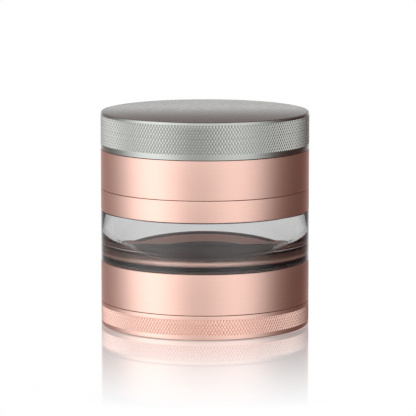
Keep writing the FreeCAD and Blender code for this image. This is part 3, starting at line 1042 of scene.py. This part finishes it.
@dataclass
class GrindingChamber(TurnedBody):
    """The toothed chamber, with its threaded lower neck and its plain upper neck."""

    floor_rise: float = 0.0016
    floor_thickness: float = 0.0032
    post_height: float = 0.0074
    tooth_height: float = 0.0100
    pocket_depth: float = 0.0030
    drop_hole: float = 0.0040
    hole_flare: float = 0.0002
    edge: float = 0.0002

    def drills(self, floor: float, underside: float) -> Mesh:
        """Builds the drop holes' drills, each flared at the top.

        Args:
            floor: Height of the grinding floor.
            underside: Height of its underside.

        Returns:
            Every drill.
        """
        over, flare, radius = 0.0004, self.hole_flare, self.drop_hole / 2
        whole = []
        for ring, count in ((1, 8), (3, 14)):
            drill = turned([
                Corner(0.0, underside - over), Corner(radius, underside - over),
                Corner(radius, floor - flare), Corner(radius + flare + over, floor + over),
                Corner(0.0, floor + over),
            ], steps=32)
            bmesh.ops.translate(drill, verts=drill.verts[:], vec=(self.fits.tooth_radius(ring), 0, 0))
            repeat_round(drill, count)
            whole.append(drill)
        return joined(whole)

    def build(self) -> None:
        """Builds the chamber and its magnet."""
        lv, ft = self.levels, self.fits
        underside = lv.chamber_bottom + self.floor_rise
        floor = underside + self.floor_thickness
        post_top = floor + self.post_height
        pocket = post_top - self.pocket_depth
        thread = Thread(ft.neck, lv.lower_neck_bottom + 0.0002, lv.chamber_bottom - 0.0018, Facing.OUT)
        shell = turned([
            Corner(0.0, underside),
            Corner(ft.neck_inside, underside, self.edge),
            Corner(ft.neck_inside, lv.lower_neck_bottom, self.edge),
            Corner(ft.neck - 0.0005, lv.lower_neck_bottom, 0.0001),
            Corner(ft.neck - 0.0004, thread.bottom),
            *thread.recess(),
            Corner(ft.neck, thread.top),
            Corner(ft.neck, lv.chamber_bottom),
            Corner(lv.radius, lv.chamber_bottom, ft.seam_edge),
            Corner(lv.radius, lv.chamber_rim, ft.seam_edge),
            Corner(ft.upper_neck, lv.chamber_rim),
            Corner(ft.upper_neck, lv.upper_neck_top, self.edge),
            Corner(ft.cavity, lv.upper_neck_top, self.edge),
            Corner(ft.cavity, floor, self.edge),
            Corner(ft.post, floor, self.edge),
            Corner(ft.post, post_top, self.edge),
            Corner(ft.pocket, post_top),
            Corner(ft.pocket, pocket),
            Corner(0.0, pocket),
        ])
        shell = drilled(shell, self.drills(floor, underside))
        pieces = [shell, thread.sleeve()]
        for ring, count in ((0, 6), (2, 12), (4, 16)):
            pieces.append(ToothRing(ft.tooth_radius(ring), count, floor, floor + self.tooth_height).teeth())
        self.piece("grinding_chamber_turned", joined(pieces), Slot.ROSE, "grinding_chamber")
        self.flat_piece("chamber_magnet", Slot.NICKEL)
        self.flat_piece("chamber_magnet_cap", Slot.STEEL)


@dataclass
class Lid(TurnedBody):
    """The knurled lid with its hanging teeth and its magnet."""

    plate: float = 0.0032
    top_edge: float = 0.0004
    plain_band: float = 0.0016
    knurl_gap: float = 0.0009
    land_tilt: float = 0.00012
    knurl_depth: float = 0.00014
    post_gap: float = 0.0004
    pocket_depth: float = 0.0030
    tooth_length: float = 0.0125
    edge: float = 0.0002

    def build(self) -> None:
        """Builds the lid and its magnet."""
        lv, ft = self.levels, self.fits
        ceiling = lv.lid_top - self.plate
        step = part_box("lid_glide_ring")[1].z
        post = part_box("lid_magnet_cap")[0].z
        pocket = post + self.pocket_depth
        knurl_bottom = lv.lid_bottom + self.plain_band
        knurl_top = lv.lid_top - self.knurl_gap
        inset = lv.radius - self.knurl_depth - 0.0002
        shell = turned([
            Corner(0.0, lv.lid_top),
            Corner(lv.radius - self.land_tilt, lv.lid_top, self.top_edge),
            Corner(lv.radius, knurl_top),
            Corner(inset, knurl_top),
            Corner(inset, knurl_bottom),
            Corner(lv.radius, knurl_bottom),
            Corner(lv.radius, lv.lid_bottom, ft.seam_edge),
            Corner(ft.lid_bore, lv.lid_bottom, ft.seam_edge),
            Corner(ft.lid_bore, step),
            Corner(ft.cavity, step, self.edge),
            Corner(ft.cavity, ceiling, self.edge),
            Corner(ft.post, ceiling, self.edge),
            Corner(ft.post, post, self.edge),
            Corner(ft.pocket, post),
            Corner(ft.pocket, pocket),
            Corner(0.0, pocket),
        ])
        knurl = Knurl(lv.radius, knurl_bottom, knurl_top, self.knurl_depth).sleeve()
        pieces = [shell, knurl]
        for ring, count in ((1, 6), (3, 14)):
            tip = ceiling - self.tooth_length
            pieces.append(ToothRing(ft.tooth_radius(ring), count, ceiling, tip).teeth())
        self.piece("lid_turned", joined(pieces), Slot.SILVER, "lid_shell")
        self.flat_piece("lid_magnet", Slot.NICKEL)
        self.flat_piece("lid_magnet_cap", Slot.STEEL)


# ---- studio


class Room(NamedTuple):
    """One bearing round the studio: its brightness at the level of the grinder and higher up."""

    bearing: float
    level: float
    raised: float


@dataclass
class Studio:
    """Pale floor, soft room light and the camera."""

    focal_length: float = 269.8
    distance: float = 0.946
    elevation: float = 8.51
    centre_height: float = 0.032
    aim_up: float = 0.00303
    aim_right: float = 0.00092
    floor_size: float = 6.0
    floor_light: float = 0.62
    floor_gloss: float = 1.95
    gloss_near: float = 0.034
    gloss_far: float = 0.128
    card_width: float = 0.26
    card_height: float = 0.09
    card_distance: float = 0.30
    brightest: float = 2.5
    warm: Colour = (1.0, 0.55, 0.50)
    warm_below: tuple[float, float] = (0.03, 0.17)
    room: tuple[Room, ...] = (
        Room(-180.0, 1.00, 0.28), Room(-166.0, 0.80, 0.28), Room(-152.0, 0.36, 0.36),
        Room(-128.0, 0.30, 0.34), Room(-108.0, 0.50, 0.52), Room(-92.0, 1.12, 1.15),
        Room(-76.0, 1.75, 1.75), Room(-52.0, 1.90, 1.90), Room(-34.0, 1.35, 1.60),
        Room(-18.0, 0.80, 1.30), Room(0.0, 0.78, 1.30), Room(16.0, 1.10, 1.30),
        Room(34.0, 1.35, 1.40), Room(52.0, 1.20, 1.30), Room(66.0, 0.66, 0.92),
        Room(84.0, 0.20, 0.34), Room(104.0, 0.09, 0.17), Room(134.0, 0.08, 0.15),
        Room(152.0, 0.30, 0.30), Room(168.0, 0.80, 0.28),
    )
    rise: tuple[tuple[float, float], ...] = (
        (-90.0, 0.40), (-62.0, 0.50), (-36.0, 1.00), (60.0, 1.00), (69.0, 0.16), (79.0, 0.16), (86.0, 0.40),
        (90.0, 0.40),
    )

    def build(self) -> None:
        """Builds the studio."""
        self.build_floor()
        self.build_card()
        self.build_room()
        self.build_camera()

    def stage_piece(self, name: str, place: Matrix) -> tuple[bpy.types.Object, NodeTree, Socket]:
        """Stages a flat piece of the studio with an empty material.

        Args:
            name: Its name.
            place: Where it lies, from a square of two metres.

        Returns:
            The object, its material's tree and the socket for its look.
        """
        mesh = bmesh.new()
        bmesh.ops.create_grid(mesh, x_segments=1, y_segments=1, size=1.0, matrix=place)
        data = stored(name, mesh)
        material = bpy.data.materials.new(name)
        material.use_nodes = True
        material.node_tree.nodes.clear()
        data.materials.append(material)
        item = linked(name, data)
        nodes = NodeTree(material.node_tree)
        return item, nodes, nodes.add("ShaderNodeOutputMaterial").inputs["Surface"]

    def build_floor(self) -> None:
        """Lays the pale floor, polished where the grinder stands."""
        floor, nodes, look = self.stage_piece("studio_floor", Matrix.Scale(self.floor_size / 2, 4))
        floor.visible_glossy = False
        seen = nodes.add("ShaderNodeLightPath").outputs["Is Camera Ray"]
        bright = nodes.maths("MULTIPLY_ADD", seen, 1.0 - self.floor_light, self.floor_light)
        glow = nodes.feed(nodes.add("ShaderNodeEmission"), Color=WHITE, Strength=bright)
        gloss = nodes.feed(nodes.add("ShaderNodeBsdfGlossy"), Color=WHITE, Roughness=0.06)
        place = nodes.add("ShaderNodeTexCoord").outputs["Object"]
        length = nodes.feed(nodes.add("ShaderNodeVectorMath", operation="LENGTH"), Vector=place)
        fade = nodes.add("ShaderNodeMapRange")
        nodes.feed(fade, Value=length.outputs["Value"], From_Min=self.gloss_near, From_Max=self.gloss_far,
                   To_Min=self.floor_gloss, To_Max=0.0)
        grazing = nodes.maths("POWER", nodes.add("ShaderNodeLayerWeight").outputs["Facing"], 5.0)
        share = nodes.maths("MULTIPLY", nodes.maths("MULTIPLY", grazing, fade.outputs["Result"]), seen)
        mix = nodes.feed(nodes.add("ShaderNodeMixShader"), Fac=share)
        nodes.put(mix.inputs[1], glow.outputs[0])
        nodes.put(mix.inputs[2], gloss.outputs[0])
        nodes.put(look, mix.outputs[0])

    def build_card(self) -> None:
        """Stands a low white card behind the grinder, so that the polished floor stays white."""
        upright = Matrix.Rotation(math.pi / 2, 4, "X")
        size = Matrix.Diagonal((self.card_width / 2, self.card_height / 2, 1, 1))
        middle = Matrix.Translation((0, self.card_distance, self.card_height / 2))
        card, nodes, look = self.stage_piece("studio_card", middle @ upright @ size)
        card.visible_camera = card.visible_diffuse = card.visible_transmission = False
        glow = nodes.feed(nodes.add("ShaderNodeEmission"), Color=WHITE, Strength=1.0)
        nodes.put(look, glow.outputs[0])

    def ramp(self, nodes: NodeTree, factor: Socket,
             stops: list[tuple[float, float]], smooth: str) -> Socket:
        """Reads a brightness off a row of stops.

        Args:
            nodes: The tree.
            factor: Where to read, from 0 to 1.
            stops: Place and brightness of each stop.
            smooth: The ramp's interpolation.

        Returns:
            The brightness as a share of the brightest.
        """
        node = nodes.add("ShaderNodeValToRGB")
        node.color_ramp.interpolation = smooth
        elements = node.color_ramp.elements
        while len(elements) < len(stops):
            elements.new(0.5)
        for element, (place, value) in zip(elements, stops):
            element.position = place
            element.color = (value, value, value, 1.0)
        return nodes.feed(node, Fac=factor).outputs["Color"]

    def build_room(self) -> None:
        """Lights the room: a tall soft panel on each side, dim warm flanks and a dim ceiling."""
        world = bpy.data.worlds.new("studio_room")
        bpy.context.scene.world = world
        world.use_nodes = True
        nodes = NodeTree(world.node_tree)
        background = world.node_tree.nodes["Background"]
        output = world.node_tree.nodes["World Output"]
        split = nodes.add("ShaderNodeSeparateXYZ")
        nodes.feed(split, Vector=nodes.add("ShaderNodeTexCoord").outputs["Generated"])
        towards = nodes.maths("MULTIPLY", split.outputs["Y"], -1.0)
        bearing = nodes.maths("ARCTAN2", split.outputs["X"], towards)
        turn = nodes.maths("MULTIPLY_ADD", bearing, 1.0 / AROUND, 0.5)
        height = nodes.maths("MULTIPLY_ADD", nodes.maths("ARCSINE", split.outputs["Z"]), 2.0 / AROUND, 0.5)
        closed = self.room + (Room(180.0, self.room[0].level, self.room[0].raised),)
        top = self.brightest
        low = self.ramp(nodes, turn, [(r.bearing / 360 + 0.5, r.level / top) for r in closed], "LINEAR")
        high = self.ramp(nodes, turn, [(r.bearing / 360 + 0.5, r.raised / top) for r in closed], "LINEAR")
        lift = self.ramp(nodes, height, [(e / 180 + 0.5, v) for e, v in self.rise], "EASE")
        blend = nodes.add("ShaderNodeMapRange", interpolation_type="SMOOTHSTEP")
        nodes.feed(blend, Value=split.outputs["Z"], From_Min=0.02, From_Max=0.24)
        level = nodes.feed(nodes.add("ShaderNodeMix"), Factor=blend.outputs["Result"], A=low, B=high)
        light = nodes.maths("MULTIPLY", level.outputs["Result"], nodes.maths("MULTIPLY", lift, top))
        shade = nodes.add("ShaderNodeMapRange")
        nodes.feed(shade, Value=level.outputs["Result"], From_Min=self.warm_below[0],
                   From_Max=self.warm_below[1])
        hue = nodes.feed(nodes.add("ShaderNodeMix", data_type="RGBA"), Factor=shade.outputs["Result"])
        hue.inputs[6].default_value, hue.inputs[7].default_value = (*self.warm, 1.0), WHITE
        nodes.feed(background, Color=hue.outputs[2], Strength=light)
        seen = nodes.feed(nodes.add("ShaderNodeBackground"), Color=WHITE, Strength=1.0)
        choose = nodes.add("ShaderNodeMixShader")
        nodes.feed(choose, Fac=nodes.add("ShaderNodeLightPath").outputs["Is Camera Ray"])
        nodes.put(choose.inputs[1], background.outputs[0])
        nodes.put(choose.inputs[2], seen.outputs[0])
        nodes.put(output.inputs["Surface"], choose.outputs[0])

    def build_camera(self) -> None:
        """Sets the camera a little above the grinder, square to its front."""
        camera = bpy.data.cameras.new("studio_camera")
        camera.lens, camera.sensor_width, camera.clip_start = self.focal_length, 36.0, 0.01
        holder = linked("studio_camera", camera)
        tilt = math.radians(self.elevation)
        centre = Vector((0, 0, self.centre_height))
        place = centre + self.distance * Vector((0, -math.cos(tilt), math.sin(tilt)))
        aim = centre + self.aim_up * Vector((0, math.sin(tilt), math.cos(tilt)))
        aim += Vector((self.aim_right, 0, 0))
        holder.location = place
        holder.rotation_euler = (aim - place).to_track_quat("-Z", "Y").to_euler()
        bpy.context.scene.camera = holder
        bpy.context.scene.view_settings.view_transform = "Standard"


def main() -> None:
    """Builds the grinder and its studio in order."""
    logging.basicConfig(level=logging.INFO, format="%(name)s: %(message)s")
    levels, fits, finishes = Levels(), Fits(), make_finishes()
    CatchCup(finishes, "catch_cup", levels, fits).build()
    SealRing(finishes, "cup_seal", "cup_seal_ring").build()
    Sieve(finishes, "window_section").build()
    WindowSection(finishes, "window_section", levels, fits).build()
    SealRing(finishes, "chamber_seal", "chamber_seal_ring").build()
    GrindingChamber(finishes, "chamber", levels, fits).build()
    Lid(finishes, "lid", levels, fits).build()
    SubAssembly(finishes, "glide_ring").flat_piece("lid_glide_ring", Slot.PLASTIC, fits.cavity, SEAL_EDGE)
    Studio().build()


if __name__ == "__main__":
    main()
